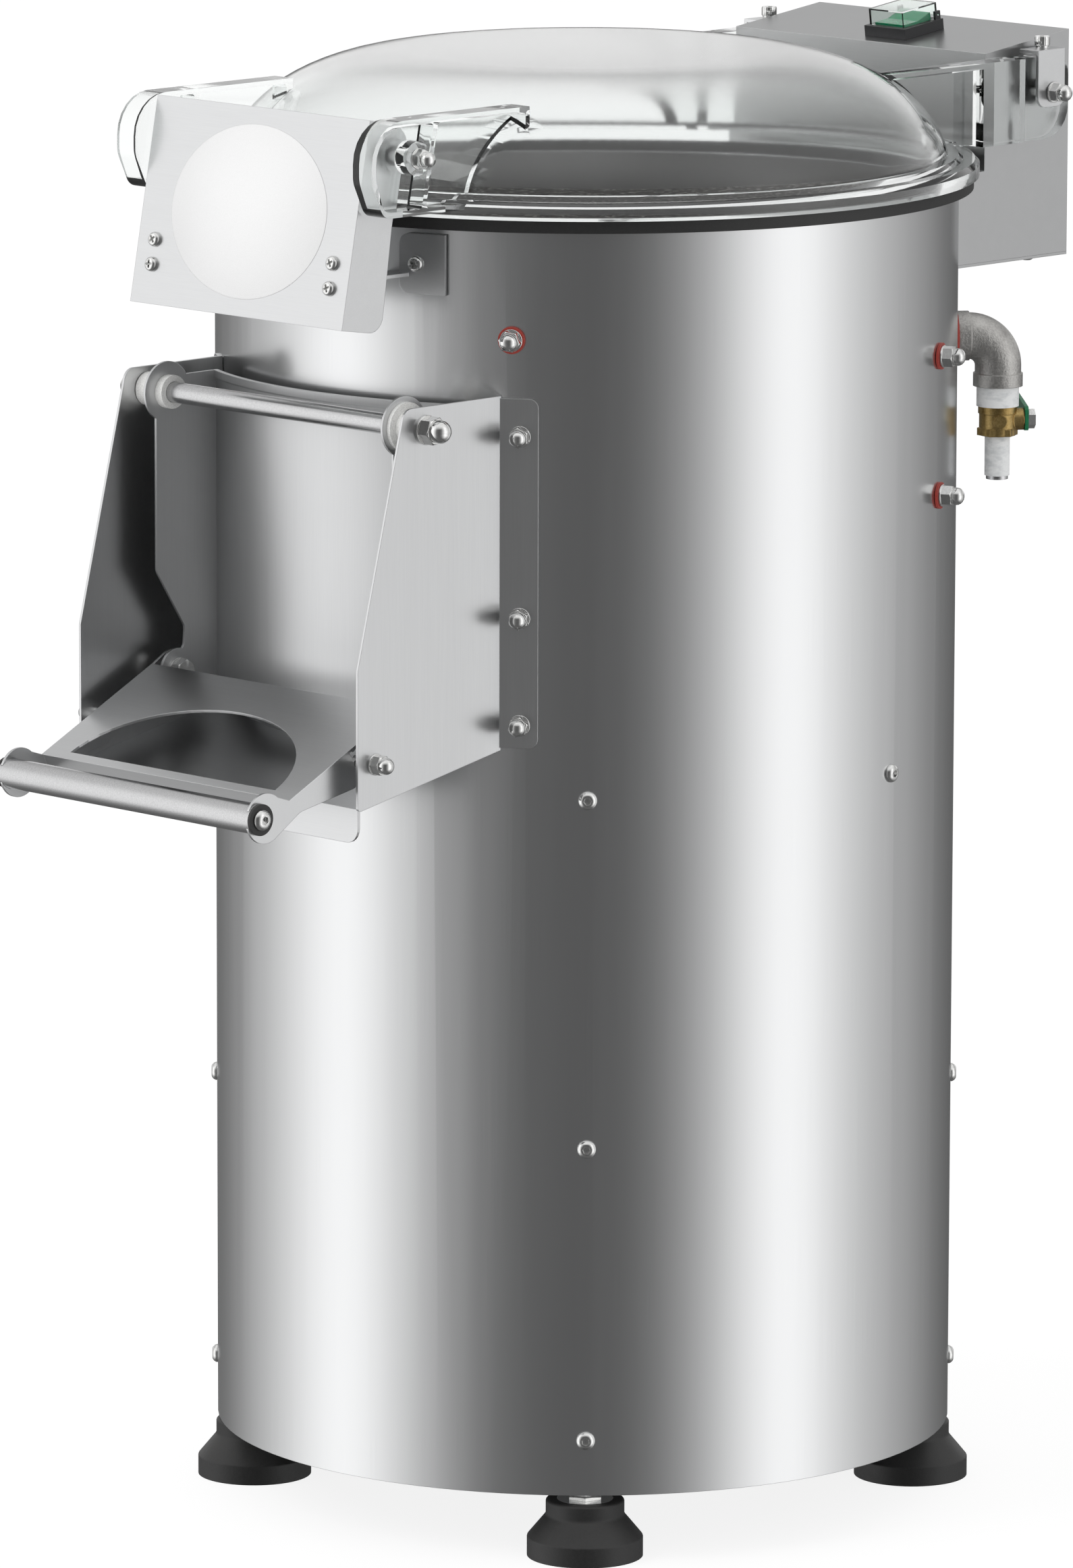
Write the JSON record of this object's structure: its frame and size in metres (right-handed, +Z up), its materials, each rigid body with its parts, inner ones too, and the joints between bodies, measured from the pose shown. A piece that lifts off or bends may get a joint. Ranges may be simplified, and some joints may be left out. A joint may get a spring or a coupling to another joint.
{
  "type": "electric potato peeler",
  "caption": "Electric potato peeler: steel drum on rubber feet with a clear hinged lid, latch plate, discharge door with lever in a chute, switch box and water tap.",
  "frame": {"origin": "on the floor under the drum's axis, in the plane of the feet's undersides", "axes": "+Z up along the drum's axis, -Y towards the discharge chute at the front, +Y towards the switch box at the back, +X to the side of the water tap"},
  "size_m": [0.422, 0.6409, 0.7935],
  "materials": {
    "drum_steel": "vertically brushed stainless sheet",
    "sheet_steel": "satin stainless sheet",
    "frame_steel": "plain rolled steel, galvanised",
    "fastener": "bright stainless",
    "rubber": "black moulded rubber",
    "gasket": "red rubber washer",
    "seal": "black profile rubber",
    "grit": "dark silicon carbide grit",
    "motor_paint": "dark grey enamel",
    "cast_alloy": "as cast, lightly blasted",
    "pulley_iron": "machined and painted",
    "shaft_steel": "ground",
    "lid_clear": "clear moulded polycarbonate",
    "nylon": "white turned nylon",
    "box_steel": "satin stainless sheet",
    "black_plastic": "moulded",
    "switch_green": "translucent green",
    "cover_clear": "clear soft polycarbonate",
    "tape": "white thread tape",
    "valve_brass": "nickel-washed brass",
    "contactor_grey": "moulded"
  },
  "bodies": {
    "base": {"drum_shell": "drum_steel", "base_ring": "frame_steel", "feet": "rubber", "foot_studs": "fastener", "shell_screws": "fastener", "chamber_floor": "sheet_steel", "abrasive_liner": "grit", "liner_nuts": "fastener", "liner_gaskets": "gasket", "drain_pipe": "sheet_steel", "motor_plate": "frame_steel", "motor_body": "motor_paint", "drive_belt": "rubber", "bearing_housing": "cast_alloy", "spindle_bearings": "shaft_steel", "left_cheek": "sheet_steel", "right_cheek": "sheet_steel", "chute_nuts": "fastener", "chute_floor": "sheet_steel", "catch_pins": "fastener", "door_seal": "seal", "door_rod": "fastener", "rod_nuts": "fastener", "hinge_pins": "fastener", "catch_brackets": "sheet_steel", "catch_screws": "fastener", "control_box": "box_steel", "box_bottom": "box_steel", "box_screws": "fastener", "contactor": "contactor_grey", "cable_gland": "black_plastic", "switch_bezel": "black_plastic", "inlet_elbow": "cast_alloy", "thread_tape": "tape", "valve_body": "valve_brass", "outlet_nipple": "shaft_steel"},
    "rotor": {"spindle": "shaft_steel", "drive_pulley": "pulley_iron", "abrasive_disc": "grit", "disc_bolt": "fastener"},
    "motor_rotor": {"motor_shaft": "shaft_steel", "motor_pulley": "pulley_iron"},
    "door": {"door_panel": "sheet_steel", "door_bushings": "nylon", "pivot_bolts": "fastener"},
    "lever": {"door_lever": "sheet_steel", "handle_tube": "fastener", "handle_caps": "fastener", "handle_screws": "fastener"},
    "lid": {"lid_cover": "lid_clear", "lid_seal": "seal", "hinge_brackets": "sheet_steel", "hinge_screws": "fastener", "latch_bolts": "fastener"},
    "latch": {"latch_plate": "sheet_steel", "latch_clips": "sheet_steel", "latch_screws": "fastener"},
    "rocker": {"switch_rocker": "switch_green"},
    "cover": {"switch_cover": "cover_clear"},
    "valve": {"valve_lever": "valve_brass"}
  },
  "joints": [
    {"name": "disc_spin", "type": "hinge", "parent": "base", "child": "rotor", "pos_m": [0, 0, 0.4], "axis": [0, 0, 1], "continuous": true},
    {"name": "motor_spin", "type": "hinge", "parent": "base", "child": "motor_rotor", "pos_m": [0, 0.128, 0.2], "axis": [0, 0, 1], "continuous": true},
    {"name": "door_swing", "type": "hinge", "parent": "base", "child": "door", "pos_m": [0, -0.226, 0.6135], "axis": [-1, 0, 0], "range_deg": [0, 55]},
    {"name": "lever_swing", "type": "hinge", "parent": "door", "child": "lever", "pos_m": [0, -0.219, 0.4625], "axis": [-1, 0, 0], "range_deg": [-4, 75]},
    {"name": "lid_swing", "type": "hinge", "parent": "base", "child": "lid", "pos_m": [0, 0.25, 0.751], "axis": [-1, 0, 0], "range_deg": [0, 78]},
    {"name": "latch_swing", "type": "hinge", "parent": "lid", "child": "latch", "pos_m": [0, -0.219, 0.753], "axis": [-1, 0, 0], "range_deg": [-4, 25]},
    {"name": "rocker_tilt", "type": "hinge", "parent": "base", "child": "rocker", "pos_m": [0.011, 0.2375, 0.78054], "axis": [-1, 0, 0], "range_deg": [0, 16]},
    {"name": "cover_flip", "type": "hinge", "parent": "base", "child": "cover", "pos_m": [0.011, 0.24926, 0.78676], "axis": [-1, 0, 0], "range_deg": [0, 100]},
    {"name": "valve_turn", "type": "hinge", "parent": "base", "child": "valve", "pos_m": [0.13852, 0.1773, 0.581], "axis": [-0.6157, -0.788, 0], "range_deg": [0, 90]}
  ],
  "couplings": [
    {"joint": "motor_spin", "follows": "disc_spin", "ratio": 3.68}
  ]
}
